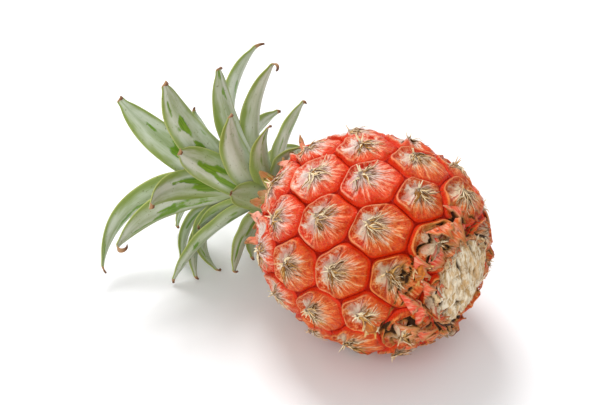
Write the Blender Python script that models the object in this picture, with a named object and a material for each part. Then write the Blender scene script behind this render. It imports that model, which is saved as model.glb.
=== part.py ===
"""A small red pineapple lying on its side: fruit, crown of leaves, neck bracts, stalk and base bracts.

The fruit's axis is X, with the stalk end at +X and the crown at -X. Z is up, and the surface it lies on is
z = 0. The origin is the middle of the flat that the fruit's own weight presses on its lowest eye.
"""

import bmesh
import bpy
import math
import random
from mathutils import Matrix, Vector, noise

MM = 0.001
GAP = 0.3 * MM

# The fruit, measured along its axis from the middle of its length, positive towards the stalk.
FRUIT_RADIUS = 52 * MM
FRUIT_LENGTH = 113 * MM
WIDEST = 4 * MM
STALK_ROUNDNESS = 2.16
CROWN_ROUNDNESS = 2.33

# The eyes follow one spiral, each with the same share of the surface.
EYE_TURN = math.radians(137.76)
EYE_AREA = 639 * MM**2
FIRST_TURN = math.radians(128.6)
FIRST_AREA_SHARE = 0.695
APEX_SHIFT = 4.5 * MM
GROOVE_DEPTH = 2.2 * MM
CAP_RIM = 0.9 * MM
CAP_DOME = 0.5 * MM
BRACT_RISE = 1.6 * MM
BRACT_EDGE = 0.3 * MM
TIP_RISE = 2.7 * MM
TIP_LEAN = 3.6 * MM
EYE_RINGS = (0.86, 0.66, 0.42, 0.16)
LEFT_OF_RELIEF = 0.3 * MM

# Seats cut in the two ends of the fruit, and how near them the eyes have no dry tip.
NECK_SEAT_RADIUS = 14 * MM
NECK_SEAT_X = -51 * MM
STALK_SEAT_RADIUS = 26 * MM
STALK_SEAT_X = 46.5 * MM
NECK_BARE = 20 * MM
STALK_BARE = 30 * MM
TIP_FADE = 8 * MM

# The crown's stem, and its blades as (turn, lean at the root, curl to the tip, length, sideways turn,
# root's place up the stem, width), in degrees and millimetres.
STEM_RADIUS = 8.4 * MM
STEM_LENGTH = 44 * MM
ROOT_RADIUS = 7 * MM
CROWN_START = -55 * MM
BLADES = (
    (155, 40, 45, 24, -10, 5, 17),
    (60, 60, 80, 27, -5, 6, 15),
    (95, 55, 60, 37, -15, 7, 17),
    (220, 10, 50, 41, 15, 8, 17),
    (255, 60, 40, 31, 0, 9, 15),
    (235, 65, 40, 37, -5, 10, 16),
    (20, 60, 25, 53, 5, 11, 17),
    (115, 60, 45, 54, -15, 12, 20),
    (135, 50, 40, 57, 0, 14, 20),
    (85, 45, 45, 66, 10, 15, 21),
    (230, 45, 35, 64, 10, 16, 19),
    (60, 50, 60, 62, 5, 17, 21),
    (230, 15, 125, 63, 45, 18, 16),
    (255, 10, 95, 66, -10, 20, 17),
    (185, 30, 65, 75, 10, 21, 21),
    (125, 60, 35, 86, -15, 22, 22),
    (160, 40, 80, 66, 5, 23, 20),
    (245, 30, 95, 60, -5, 24, 15),
    (35, 30, 60, 83, -15, 26, 19),
    (195, 5, 105, 95, 35, 27, 19),
    (140, 55, 5, 79, -30, 28, 21),
    (325, 60, 45, 42, 0, 8, 17),
    (290, 50, 65, 64, 10, 13, 17),
    (345, 50, 50, 62, 0, 16, 19),
    (310, 35, 70, 70, 0, 19, 19),
    (0, 35, 60, 66, 0, 23, 18),
    (270, 15, 60, 62, 0, 29, 16),
    (75, 15, 40, 38, 0, 33, 14),
    (320, 12, 45, 42, 0, 34, 14),
    (190, 8, 35, 30, 0, 37, 12),
    (50, 5, 25, 27, 0, 40, 9),
)
BLADE_STATIONS = 8
BLADE_THICK = 1.8 * MM
MARGIN_THICK = 0.8 * MM
CHANNEL_AT_ROOT = 9 * MM
CHANNEL_AT_TIP = 22 * MM
CURL_POWER = 1.3
TIP_WIDTH = 0.10

# The small bracts under the crown grow from a ring round the stem's foot.
NECK_BRACTS = 11
NECK_RING = (9.2 * MM, 13.6 * MM)
NECK_RING_END = -57.8 * MM
NECK_SEGMENTS = 20

# The torn bracts round the stalk grow from a ring in the fruit's stalk end.
BASE_BRACTS = 13
BASE_RING = (20.9 * MM, 25.6 * MM)
BASE_RING_END = 51 * MM
BASE_SEGMENTS = 28

# The broken end of the stalk: its rim, its middle, and how far its fibres stand up.
STALK_RADIUS = 20.4 * MM
STALK_RIM_X = 52.5 * MM
STALK_MIDDLE_X = 55.8 * MM
FIBRE_RISE = 1.1 * MM
FLAP_THICK = 1.4 * MM

COLOURS = {
    "fruit": ((0.66, 0.10, 0.035), 0.38),
    "crown": ((0.20, 0.30, 0.16), 0.5),
    "neck_bracts": ((0.55, 0.24, 0.12), 0.6),
    "stalk": ((0.62, 0.52, 0.38), 0.85),
    "base_bracts": ((0.60, 0.22, 0.10), 0.65),
}


def clear_scene():
    for obj in list(bpy.data.objects):
        bpy.data.objects.remove(obj)


def material(name):
    colour, roughness = COLOURS[name]
    made = bpy.data.materials.new(name)
    made.use_nodes = True
    shader = made.node_tree.nodes["Principled BSDF"]
    shader.inputs["Base Color"].default_value = (*colour, 1)
    shader.inputs["Roughness"].default_value = roughness
    return made


def object_of(bm, name, collection=None):
    """A new object from bm, faces out, in the scene or in a collection."""
    bmesh.ops.recalc_face_normals(bm, faces=bm.faces)
    mesh = bpy.data.meshes.new(name)
    bm.to_mesh(mesh)
    bm.free()
    obj = bpy.data.objects.new(name, mesh)
    (collection or bpy.context.scene.collection).objects.link(obj)
    return obj


def body_radius(x):
    """The smooth fruit's radius at x, from its two half superellipses."""
    stalk_side = x > WIDEST
    half = FRUIT_LENGTH / 2 - WIDEST if stalk_side else FRUIT_LENGTH / 2 + WIDEST
    power = STALK_ROUNDNESS if stalk_side else CROWN_ROUNDNESS
    share = min(abs(x - WIDEST) / half, 1)
    return FRUIT_RADIUS * (1 - share**power) ** (1 / power)


def on_body(point):
    """The point of the smooth fruit seen from its widest middle in the direction of point."""
    ray = point - Vector((WIDEST, 0, 0))
    stalk_side = ray.x > 0
    half = FRUIT_LENGTH / 2 - WIDEST if stalk_side else FRUIT_LENGTH / 2 + WIDEST
    power = STALK_ROUNDNESS if stalk_side else CROWN_ROUNDNESS
    size = (abs(ray.x) / half) ** power + (math.hypot(ray.y, ray.z) / FRUIT_RADIUS) ** power
    return Vector((WIDEST, 0, 0)) + ray / size ** (1 / power)


def body_normal(point):
    """Outward direction of the smooth fruit at a point on it."""
    ray = point - Vector((WIDEST, 0, 0))
    stalk_side = ray.x > 0
    half = FRUIT_LENGTH / 2 - WIDEST if stalk_side else FRUIT_LENGTH / 2 + WIDEST
    power = STALK_ROUNDNESS if stalk_side else CROWN_ROUNDNESS
    radius = max(math.hypot(ray.y, ray.z), 1e-9)
    along = math.copysign((abs(ray.x) / half) ** (power - 1) / half, ray.x)
    out = (radius / FRUIT_RADIUS) ** (power - 1) / FRUIT_RADIUS
    return Vector((along, out * ray.y / radius, out * ray.z / radius)).normalized()


def spiral_points():
    """Centres of the eyes: equal steps of surface area along the axis, and an equal turn each."""
    steps = 2000
    start = -FRUIT_LENGTH / 2
    width = FRUIT_LENGTH / steps
    places, areas, area = [start], [0.0], 0.0
    for step in range(steps):
        near = body_radius(start + step * width)
        far = body_radius(start + (step + 1) * width)
        area += math.pi * (near + far) * math.hypot(width, far - near)
        places.append(start + (step + 1) * width)
        areas.append(area)
    first = FIRST_AREA_SHARE * area
    centres = []
    step = 0
    for index in range(-math.floor(first / EYE_AREA), math.ceil((area - first) / EYE_AREA)):
        wanted = first + index * EYE_AREA
        while areas[step + 1] < wanted:
            step += 1
        share = (wanted - areas[step]) / (areas[step + 1] - areas[step])
        x = places[step] + share * width
        turn = FIRST_TURN + index * EYE_TURN
        centres.append(Vector((x, body_radius(x) * math.cos(turn), body_radius(x) * math.sin(turn))))
    return centres


def eye_axes(centre):
    """Outward, towards the crown and sideways, at an eye."""
    out = body_normal(centre)
    crown = (Vector((-1, 0, 0)) - out * -out.x).normalized()
    return out, crown, out.cross(crown)


def smooth(value):
    """0 up to 0, 1 from 1 on, and a soft step between."""
    value = min(1, max(0, value))
    return value * value * (3 - 2 * value)


def relief(share, crownward):
    """Height of an eye's skin: share 0 at its apex and 1 in the groove, crownward 1 to -1 round it.

    The crown side is a dished cap with a rolled rim. The stalk side is a bract that rises to the apex.
    """
    on_cap = smooth((crownward + 0.4) / 0.25)
    cap = CAP_DOME * (1 - share * share)
    cap += CAP_RIM * math.exp(-(((share - 0.8) / 0.13) ** 2))
    cap -= CAP_RIM * math.exp(-(((share - 0.42) / 0.2) ** 2))
    bract = BRACT_EDGE + BRACT_RISE * (1 - share) ** 0.8
    return on_cap * cap + (1 - on_cap) * bract - GROOVE_DEPTH * smooth((share - 0.78) / 0.22)


def cell_outlines(centres):
    """The eyes' outlines: for each centre, the middles of the hull triangles round it, in order."""
    bm = bmesh.new()
    verts = [bm.verts.new(centre) for centre in centres]
    bm.verts.index_update()
    bmesh.ops.convex_hull(bm, input=verts)
    bmesh.ops.triangulate(bm, faces=bm.faces)
    bm.faces.index_update()
    corners = [on_body(face.calc_center_median()) for face in bm.faces]
    outlines = []
    for vert, centre in zip(verts, centres):
        out, crown, side = eye_axes(centre)
        ring = [face.index for face in vert.link_faces]
        ring.sort(key=lambda i: math.atan2((corners[i] - centre).dot(side), (corners[i] - centre).dot(crown)))
        outlines.append(ring)
    bm.free()
    return corners, outlines


def fruit_cells(centres):
    """A closed skin with one flat face for each eye, its edges halved so that the grooves can curve.

    Each face keeps its eye's number, and each vertex the place in the groove that it was drawn in from.
    """
    corners, outlines = cell_outlines(centres)
    bm = bmesh.new()
    eye = bm.faces.layers.int.new("eye")
    rim = bm.verts.layers.float_vector.new("rim")
    verts = [bm.verts.new(corner) for corner in corners]
    for number, ring in enumerate(outlines):
        bm.faces.new([verts[i] for i in ring])[eye] = number
    bmesh.ops.subdivide_edges(bm, edges=bm.edges, cuts=1)
    for vert in bm.verts:
        vert.co = on_body(vert.co)
        vert[rim] = vert.co
    return bm, eye, rim


def eye_apex(centre):
    """An eye's apex, which lies crownwards of its middle, with the outward and crownward directions."""
    crown = eye_axes(centre)[1]
    apex = on_body(centre + crown * APEX_SHIFT)
    out, crown, _ = eye_axes(apex)
    return apex, out, crown


def tip_room(apex):
    """How much of its dry tip an eye has, 0 to 1: none near the ground and near the two seats."""
    bare = NECK_BARE if apex.x < 0 else STALK_BARE
    from_seat = math.hypot(apex.y, apex.z) - bare
    from_ground = apex.z + FRUIT_RADIUS - 0.4 * TIP_FADE
    return min(1, max(0, min(from_seat, from_ground) / TIP_FADE))


def raise_eyes(bm, eye, rim, centres):
    """Draws each cell inwards in rings, towards its apex, and lifts them to the eye's relief and dry tip."""
    cells = list(bm.faces)
    for vert in bm.verts:
        vert.co -= body_normal(vert.co) * GROOVE_DEPTH
    for ring in EYE_RINGS:
        cells = bmesh.ops.extrude_discrete_faces(bm, faces=cells)["faces"]
        for cell in cells:
            apex, out, crown = eye_apex(centres[cell[eye]])
            for vert in cell.verts:
                crownward = (vert[rim] - apex).normalized().dot(crown)
                place = on_body(apex.lerp(vert[rim], ring))
                vert.co = place + body_normal(place) * relief(ring, crownward)
    for cell in cells:
        apex, out, crown = eye_apex(centres[cell[eye]])
        tip = bmesh.ops.poke(bm, faces=[cell])["verts"][0]
        tip.co = apex + out * BRACT_RISE + (out * TIP_RISE + crown * TIP_LEAN) * tip_room(apex)


def turned(profile, segments, name, collection=None):
    """A closed solid turned round the X axis from (x, radius) points, which end on the axis or meet."""
    bm = bmesh.new()
    verts = [bm.verts.new((x, 0, radius)) for x, radius in profile]
    closed = profile[0][1] > 0
    pairs = zip(verts, verts[1:] + verts[:1] if closed else verts[1:])
    edges = [bm.edges.new(pair) for pair in pairs]
    bmesh.ops.spin(
        bm, geom=verts + edges, cent=(0, 0, 0), axis=(1, 0, 0), angle=math.tau, steps=segments, use_merge=True
    )
    bmesh.ops.remove_doubles(bm, verts=bm.verts, dist=0.01 * MM)
    return object_of(bm, name, collection)


def cut(body, cutter):
    """Takes cutter away from body for good."""
    taken = body.modifiers.new("seat", "BOOLEAN")
    taken.operation = "DIFFERENCE"
    taken.object = cutter
    bpy.context.view_layer.objects.active = body
    bpy.ops.object.modifier_apply(modifier=taken.name)
    bpy.data.objects.remove(cutter)


def fuse(body, pieces):
    """Joins every object of the collection pieces to body, then keeps the outer skin alone."""
    union = body.modifiers.new("fuse", "BOOLEAN")
    union.operation = "UNION"
    union.operand_type = "COLLECTION"
    union.solver = "MANIFOLD"
    union.collection = pieces
    bpy.context.view_layer.objects.active = body
    bpy.ops.object.modifier_apply(modifier=union.name)
    for piece in list(pieces.objects):
        bpy.data.objects.remove(piece)
    bpy.data.collections.remove(pieces)
    keep_outer_skin(body)


def keep_outer_skin(obj):
    """Fills hollows sealed by a union and drops loose scraps: only the largest closed skin stays."""
    bm = bmesh.new()
    bm.from_mesh(obj.data)
    left = set(bm.faces)
    skins = []
    while left:
        skin, todo = set(), [left.pop()]
        while todo:
            face = todo.pop()
            skin.add(face)
            for edge in face.edges:
                for other in edge.link_faces:
                    if other in left:
                        left.remove(other)
                        todo.append(other)
        skins.append(skin)
    skins.sort(key=lambda skin: sum(face.calc_area() for face in skin))
    for skin in skins[:-1]:
        bmesh.ops.delete(bm, geom=list(skin), context="FACES")
    bm.to_mesh(obj.data)
    bm.free()


def collection(name):
    made = bpy.data.collections.new(name)
    bpy.context.scene.collection.children.link(made)
    return made


def ring_of(bm, loop):
    """One closed cross-section as edges of bm."""
    verts = [bm.verts.new(point) for point in loop]
    return verts, [bm.edges.new(pair) for pair in zip(verts, verts[1:] + verts[:1])]


def lofted(sections, name, pieces):
    """A closed solid bridged through cross-sections of equal count, capped at both ends."""
    bm = bmesh.new()
    rings = [ring_of(bm, loop) for loop in sections]
    for (_, near), (_, far) in zip(rings, rings[1:]):
        bmesh.ops.bridge_loops(bm, edges=near + far)
    for verts, _ in (rings[0], rings[-1]):
        bm.faces.new(verts)
    bmesh.ops.triangulate(bm, faces=bm.faces)
    return object_of(bm, name, pieces)


def blade_line(blade, start, radius, axis, stations):
    """Places and directions along a blade's midrib: it leaves its stem at a lean and curls over."""
    turn, lean, curl, length, sway, root, _ = blade
    place = Vector((start + axis * root * MM, 0, 0))
    place += radius * Vector((0, math.cos(math.radians(turn)), math.sin(math.radians(turn))))
    fine = 5
    steps = fine * (stations - 1)
    line = []
    for index in range(steps + 1):
        share = index / steps
        angle = math.radians(lean + curl * share**CURL_POWER)
        about = math.radians(turn + sway * share)
        out = Vector((0, math.cos(about), math.sin(about)))
        tangent = Vector((axis * math.cos(angle), 0, 0)) + out * math.sin(angle)
        if index:
            place = place + tangent * length * MM / steps
        if index % fine == 0:
            line.append((share, place, tangent))
    return line


def blade_width(share):
    """Width along a blade as a share of its widest: broad at the root, with a long taper."""
    return max(TIP_WIDTH, (1 - share**2.4) ** 0.85)


def blade_sections(blade, lift, start, radius, axis, stations, thick, channels):
    """Channelled cross-sections of one blade, raised by lift towards its tip."""
    turn = math.radians(blade[0])
    side = Vector((0, -math.sin(turn), math.cos(turn)))
    parts = (-1, -0.4, 0.4, 1)
    sections = []
    for share, place, tangent in blade_line(blade, start, radius, axis, stations):
        across = (side - tangent * side.dot(tangent)).normalized()
        inner = across.cross(tangent) * -axis
        half = blade[6] * MM * blade_width(share) / 2
        channel = channels[0] + (channels[1] - channels[0]) * share
        place = place + Vector((0, 0, lift * share * share))
        if share == 0:
            place = place - tangent * 2 * MM
        upper, lower = [], []
        for part in parts:
            bend = part * half / channel
            skin = place + across * channel * math.sin(bend) + inner * channel * (1 - math.cos(bend))
            normal = inner * math.cos(bend) - across * math.sin(bend)
            deep = MARGIN_THICK + (thick * (1 - 0.4 * share) - MARGIN_THICK) * (1 - abs(part))
            upper.append(skin)
            lower.append(skin - normal * deep)
        sections.append(upper + lower[::-1])
    return sections


def make_blade(blade, ground, pieces, name, **shape):
    """One leaf, lifted just enough towards its tip to lie on the ground and not in it."""
    lift = 0.0
    for _ in range(8):
        sections = blade_sections(blade, lift, **shape)
        lowest = min(point.z for loop in sections for point in loop)
        if lowest >= ground - 0.01 * MM:
            break
        lift += ground - lowest
    return lofted(sections, name, pieces)


def make_crown(ground):
    """The leafy shoot: a short stem, and blades that clasp it and curl outwards."""
    top = CROWN_START - STEM_LENGTH
    profile = (
        (NECK_SEAT_X - GAP, 0),
        (NECK_SEAT_X - GAP, STEM_RADIUS),
        (CROWN_START - 0.6 * STEM_LENGTH, STEM_RADIUS * 0.95),
        (CROWN_START - 0.9 * STEM_LENGTH, STEM_RADIUS * 0.45),
        (top, 0),
    )
    stem = turned(profile, 14, "crown")
    pieces = collection("blades")
    for index, blade in enumerate(BLADES):
        make_blade(
            blade,
            ground,
            pieces,
            f"blade_{index}",
            start=CROWN_START,
            radius=ROOT_RADIUS,
            axis=-1,
            stations=BLADE_STATIONS,
            thick=BLADE_THICK,
            channels=(CHANNEL_AT_ROOT, CHANNEL_AT_TIP),
        )
    fuse(stem, pieces)
    return stem


def make_bracts(name, ring, ends, segments, count, draw, axis, ground):
    """A ring with small pointed bracts round it. draw gives each bract's lean, curl, length and width."""
    near, far = ends
    inside, outside = ring
    profile = ((near, inside), (near, outside), (far, outside), (far, inside))
    body = turned(profile, segments, name)
    pieces = collection(name + "_pieces")
    middle = (inside + outside) / 2
    rng = random.Random(count)
    for index in range(count):
        lean, curl, length, width = (rng.uniform(*limits) for limits in draw)
        turn = 360 * (index + rng.uniform(-0.25, 0.25)) / count
        make_blade(
            (turn, lean, curl, length, 0, -0.5, width),
            ground,
            pieces,
            f"{name}_{index}",
            start=far,
            radius=middle,
            axis=axis,
            stations=5,
            thick=FLAP_THICK,
            channels=(middle, 2 * middle),
        )
    fuse(body, pieces)
    return body


def make_neck_bracts(ground):
    """The bracts between fruit and crown, spread over the fruit's shoulder."""
    draw = ((58, 74), (5, 20), (9, 15), (7, 10))
    ends = (NECK_SEAT_X - GAP, NECK_RING_END)
    return make_bracts("neck_bracts", NECK_RING, ends, NECK_SEGMENTS, NECK_BRACTS, draw, -1, ground)


def make_base_bracts(ground):
    """The torn bracts round the stalk's broken end, most of them bent in over its rim."""
    draw = ((-35, 8), (-50, -5), (5.5, 10), (9, 15))
    ends = (STALK_SEAT_X + GAP, BASE_RING_END)
    return make_bracts("base_bracts", BASE_RING, ends, BASE_SEGMENTS, BASE_BRACTS, draw, 1, ground)


def make_stalk():
    """The broken woody end of the stalk, a low dome with torn fibres."""
    dome = STALK_MIDDLE_X - STALK_RIM_X
    profile = [(STALK_SEAT_X + GAP, 0), (STALK_SEAT_X + GAP, STALK_RADIUS)]
    for share in (1, 0.86, 0.66, 0.44, 0.22, 0):
        profile.append((STALK_RIM_X + dome * (1 - share * share), STALK_RADIUS * share))
    stalk = turned(profile, BASE_SEGMENTS, "stalk")
    for vert in stalk.data.vertices:
        if vert.co.x > STALK_RIM_X - 0.1 * MM and math.hypot(vert.co.y, vert.co.z) < STALK_RADIUS * 0.95:
            grain = Vector((0, vert.co.y / (3 * MM), vert.co.z / (9 * MM)))
            vert.co.x += FIBRE_RISE * noise.noise(grain)
    return stalk


def make_fruit(centres, ground):
    """The whole fruit as one solid: eyes, grooves and dry tips, with a seat at each end."""
    bm, eye, rim = fruit_cells(centres)
    raise_eyes(bm, eye, rim, centres)
    for vert in bm.verts:
        vert.co.z = max(vert.co.z, ground)
    bmesh.ops.triangulate(bm, faces=bm.faces)
    fruit = object_of(bm, "fruit")
    for floor, radius, side, segments in (
        (NECK_SEAT_X, NECK_SEAT_RADIUS, -1, NECK_SEGMENTS),
        (STALK_SEAT_X, STALK_SEAT_RADIUS, 1, BASE_SEGMENTS),
    ):
        far = side * FRUIT_LENGTH
        cut(fruit, turned(((floor, 0), (floor, radius), (far, radius), (far, 0)), segments, "seat"))
    return fruit


def main():
    clear_scene()
    centres = spiral_points()
    lowest = min(centres, key=lambda centre: centre.z)
    ground = lowest.z - LEFT_OF_RELIEF
    pieces = (
        make_fruit(centres, ground),
        make_crown(ground),
        make_neck_bracts(ground),
        make_base_bracts(ground),
        make_stalk(),
    )
    place = Matrix.Translation((-lowest.x, -lowest.y, -ground))
    for obj in pieces:
        obj.data.transform(place)
        obj.data.materials.clear()
        obj.data.materials.append(material(obj.name))


main()
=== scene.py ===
"""The looks of a small red pineapple lying on its side.

Every piece is made about the fruit's own middle, with the fruit's axis along X, the stalk end at +X, the
crown at -X and Z up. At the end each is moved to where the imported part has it. Lengths are in metres.
"""

import math
import random

import bmesh
import bpy
from mathutils import Matrix, Vector, noise


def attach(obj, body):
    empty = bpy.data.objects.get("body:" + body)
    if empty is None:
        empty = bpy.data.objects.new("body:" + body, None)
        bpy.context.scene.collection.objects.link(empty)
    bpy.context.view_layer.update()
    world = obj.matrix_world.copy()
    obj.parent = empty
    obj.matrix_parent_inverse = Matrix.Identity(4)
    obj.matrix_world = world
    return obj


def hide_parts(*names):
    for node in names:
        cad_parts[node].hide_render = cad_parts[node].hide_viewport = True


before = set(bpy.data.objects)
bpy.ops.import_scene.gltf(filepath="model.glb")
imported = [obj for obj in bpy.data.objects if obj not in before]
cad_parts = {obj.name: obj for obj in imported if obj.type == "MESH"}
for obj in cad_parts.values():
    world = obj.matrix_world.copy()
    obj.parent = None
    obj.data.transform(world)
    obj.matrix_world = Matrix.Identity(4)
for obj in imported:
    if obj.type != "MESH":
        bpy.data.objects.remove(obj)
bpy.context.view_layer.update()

MM = 0.001
TINY = 0.01 * MM
CROWNWARD = Vector((-1, 0, 0))
STALKWARD = Vector((1, 0, 0))

# The smooth fruit and its lattice of eyes, as in the part's source.
FRUIT_RADIUS = 52 * MM
FRUIT_LENGTH = 113 * MM
WIDEST = 4 * MM
STALK_ROUNDNESS = 2.16
CROWN_ROUNDNESS = 2.33
EYE_TURN = math.radians(137.76)
EYE_AREA = 639 * MM**2
FIRST_TURN = math.radians(128.6)
FIRST_AREA_SHARE = 0.695
APEX_SHIFT = 4.5 * MM
BRACT_RISE = 1.6 * MM
BRACT_EDGE = 0.3 * MM
TIP_RISE = 2.7 * MM
TIP_LEAN = 3.6 * MM
LEFT_OF_RELIEF = 0.3 * MM
NECK_BARE = 20 * MM
STALK_BARE = 30 * MM
TIP_FADE = 8 * MM

# The skin of an eye: how far its apex strays, cuts in each edge of its outline, and its rings from the
# groove to the apex, as shares of the way.
APEX_STRAY = 2.5 * MM
EYE_REACH = 15 * MM
OUTLINE_CUTS = 9
OUTLINE_ROUNDING = 2
EYE_RINGS = (
    0.985, 0.965, 0.94, 0.915, 0.885, 0.85, 0.81, 0.76, 0.70, 0.64,
    0.58, 0.52, 0.46, 0.40, 0.34, 0.28, 0.22, 0.16, 0.10, 0.05,
)
OUTLINE_WANDER = 2.0 * MM
GROOVE_DEPTH = 1.5 * MM
CAP_RIM = 1.5 * MM
CAP_DISH = 1.2 * MM
CAP_DOME = 0.8 * MM
CAP_LOBES = 1.6 * MM
FAN_EDGE = 1.3 * MM
FAN_FOLDS = 2.7 * MM
SKIN_LUMPS = 0.7 * MM
FAN_FROM = -0.28
GROOVE_FROM = 0.87
TEAR_FROM = 38.5 * MM
TEAR_DEPTH = 3.4 * MM
TEAR_LUMPS = 2.4 * MM

# The papery tufts at the apexes, of spikes, broad fibres and finer ones.
TUFT_SEED = 11
LEAST_ROOM = 0.2
TUFT_SPIKES = 3
TUFT_FIBRES = (26, 34)
BROAD_FIBRES = 5
PAPER_THICK = 0.2 * MM

# Dried flowers that show where bracts are torn: millimetres along the fruit, and turn round it. Each
# has a width, length and height, and a cup of papery petals.
DRIED_FLOWERS = ((45, 144), (30, 190))
FLOWER_SIZE = (4.4 * MM, 2.7 * MM, 2.4 * MM)
FLOWER_RISE = 1.2 * MM
CUP_PETALS = 9
CUP_RADIUS = 2.6

# The hollows at the two ends of the fruit, in which the crown and the stalk sit: radius of the flat
# floor, radius of the mouth, and the floor's place along the fruit.
NECK_HOLLOW = (12.5 * MM, 16 * MM, -52 * MM)
STALK_HOLLOW = (21 * MM, 25.5 * MM, 47 * MM)

# The crown's stem, and its leaves as (turn, lean at the root, curl to the tip, length, sideways turn,
# root's place up the stem, width, length of the dry tip, curl of the dry tip), in degrees and
# millimetres.
STEM_RADIUS = 8.4 * MM
STEM_LENGTH = 44 * MM
STEM_FOOT_X = -51 * MM
ROOT_RADIUS = 7 * MM
CROWN_START = -55 * MM
LEAVES = (
    (155, 40, 45, 24, -10, 5, 17, 3, 60),
    (60, 60, 80, 24, -5, 6, 15, 8, 70),
    (95, 55, 60, 37, -15, 7, 17, 3, 60),
    (220, 10, 50, 41, 15, 8, 17, 3, 60),
    (255, 60, 40, 31, 0, 9, 15, 3, 60),
    (235, 65, 40, 37, -5, 10, 16, 4, 160),
    (20, 60, 25, 53, 5, 11, 17, 4, 150),
    (115, 60, 45, 54, -15, 12, 20, 3, 100),
    (135, 50, 40, 57, 0, 14, 20, 4, 200),
    (85, 45, 45, 66, 10, 15, 21, 4, 100),
    (230, 45, 35, 64, 10, 16, 16, 3, 40),
    (60, 50, 60, 62, 5, 17, 21, 8, 190),
    (230, 15, 125, 63, 45, 18, 16, 5, 120),
    (255, 10, 95, 66, -10, 20, 17, 3, 60),
    (185, 30, 65, 75, 10, 21, 21, 11, 210),
    (125, 60, 35, 86, -15, 22, 22, 4, 120),
    (160, 40, 80, 66, 5, 23, 20, 4, 150),
    (245, 30, 95, 60, -5, 24, 15, 3, 60),
    (35, 30, 60, 83, -15, 26, 19, 7, 60),
    (195, 5, 105, 95, 35, 27, 19, 5, 60),
    (140, 55, 5, 79, -30, 28, 21, 4, 150),
    (325, 60, 45, 42, 0, 8, 17, 3, 60),
    (290, 50, 65, 64, 10, 13, 17, 3, 60),
    (345, 50, 50, 62, 0, 16, 19, 3, 60),
    (310, 35, 70, 70, 0, 19, 19, 3, 60),
    (0, 35, 60, 66, 0, 23, 18, 3, 60),
    (270, 15, 60, 62, 0, 29, 16, 3, 60),
    (75, 15, 40, 38, 0, 33, 14, 3, 60),
    (320, 12, 45, 42, 0, 34, 14, 3, 60),
    (190, 8, 35, 30, 0, 37, 12, 3, 60),
    (50, 5, 25, 27, 0, 40, 9, 3, 60),
)
LEAF_ACROSS = 8
LEAF_ALONG = 36
MAIN_SHARE = 0.8
LEAF_THICK = 1.7 * MM
LEAF_CLEARANCE = 1.2 * MM
EDGE_WAVE = 0.5 * MM
MARGIN_SHARE = 0.35
CHANNEL_AT_ROOT = 9 * MM
CHANNEL_AT_TIP = 15 * MM
CURL_POWER = 1.3
TIP_WIDTH = 0.2

# The small bracts between the fruit and the crown, and on the fruit's shoulder.
NECK_SEED = 16
NECK_BRACTS = 16
NECK_ROOT_RADIUS = 11.6 * MM
NECK_ROOT_X = -54.5 * MM
SHOULDER_BRACTS = 15
SHOULDER_X = -50 * MM
SHOULDER_SUNK = 1.5 * MM
SHOULDER_RAGGED = 0.9
BRACT_THICK = 0.9 * MM

# The torn bracts round the stalk, and the broken end of the stalk.
BASE_SEED = 110
BASE_SHREDS = 110
TORN_FLAPS = 26
FLAP_THICK = 0.5 * MM
FLAP_SEAT_X = 46 * MM
LEAST_ABOVE_GROUND = 1 * MM
TORN_INSIDE = 18.5 * MM
TORN_OUTSIDE = 28 * MM
TORN_X = 50 * MM
TORN_FOOT_X = 45.2 * MM
TORN_GRID = (20, 260)
STALK_RADIUS = 21 * MM
STALK_RIM_X = 51.5 * MM
STALK_MIDDLE_X = 55.6 * MM
STALK_FOOT_X = 47.2 * MM
STALK_GRID = 72
LOOSE_FIBRES = 45
FIBRE_SEED = 3
FIBRE_WIDTH = 0.8 * MM
FIBRE_THICK = 0.3 * MM

# The photo's view: degrees round the fruit and above the ground, the lens, and the camera's place in
# metres back, right and up from the fruit's middle.
AZIMUTH = 36
ELEVATION = 37
LENS = 132.3
CAMERA_OFFSET = (1.122, -0.034, 0.0196)
FLOOR_HALF = 4

# The sky's brightness, and the soft lights: name, place, width in metres and power in watts.
SKY_STRENGTH = 0.68
LIGHTS = (
    ("overhead", (-0.55, 0.35, 1.1), 0.5, 11),
    ("front", (0.3, -1.3, 0.8), 1.2, 9),
)

# The seed of the noise by which the eyes stray and their outlines wander.
NOISE_SEED = 1
noise.seed_set(NOISE_SEED)


def smooth(value):
    """0 up to 0, 1 from 1 on, and a soft step between."""
    value = min(1, max(0, value))
    return value * value * (3 - 2 * value)


def bell(value, middle, width):
    """1 at middle, falling off over width."""
    return math.exp(-(((value - middle) / width) ** 2))


def noise_at(x, y, z):
    return noise.noise(Vector((x, y, z)))


# The smooth fruit.


def body_half(x):
    """Half length and roundness of the smooth fruit on the side of its widest place where x is."""
    if x > WIDEST:
        return FRUIT_LENGTH / 2 - WIDEST, STALK_ROUNDNESS
    return FRUIT_LENGTH / 2 + WIDEST, CROWN_ROUNDNESS


def body_radius(x):
    half, power = body_half(x)
    share = min(abs(x - WIDEST) / half, 1)
    return FRUIT_RADIUS * (1 - share**power) ** (1 / power)


def on_body(point):
    """The point of the smooth fruit seen from its widest middle in the direction of point."""
    half, power = body_half(point.x)
    ray = point - Vector((WIDEST, 0, 0))
    size = (abs(ray.x) / half) ** power + (math.hypot(ray.y, ray.z) / FRUIT_RADIUS) ** power
    return Vector((WIDEST, 0, 0)) + ray / size ** (1 / power)


def body_normal(point):
    """Outward direction of the smooth fruit at a point on it."""
    half, power = body_half(point.x)
    along = point.x - WIDEST
    radius = max(math.hypot(point.y, point.z), 1e-9)
    axial = math.copysign((abs(along) / half) ** (power - 1) / half, along)
    out = (radius / FRUIT_RADIUS) ** (power - 1) / FRUIT_RADIUS
    return Vector((axial, out * point.y / radius, out * point.z / radius)).normalized()


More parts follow.
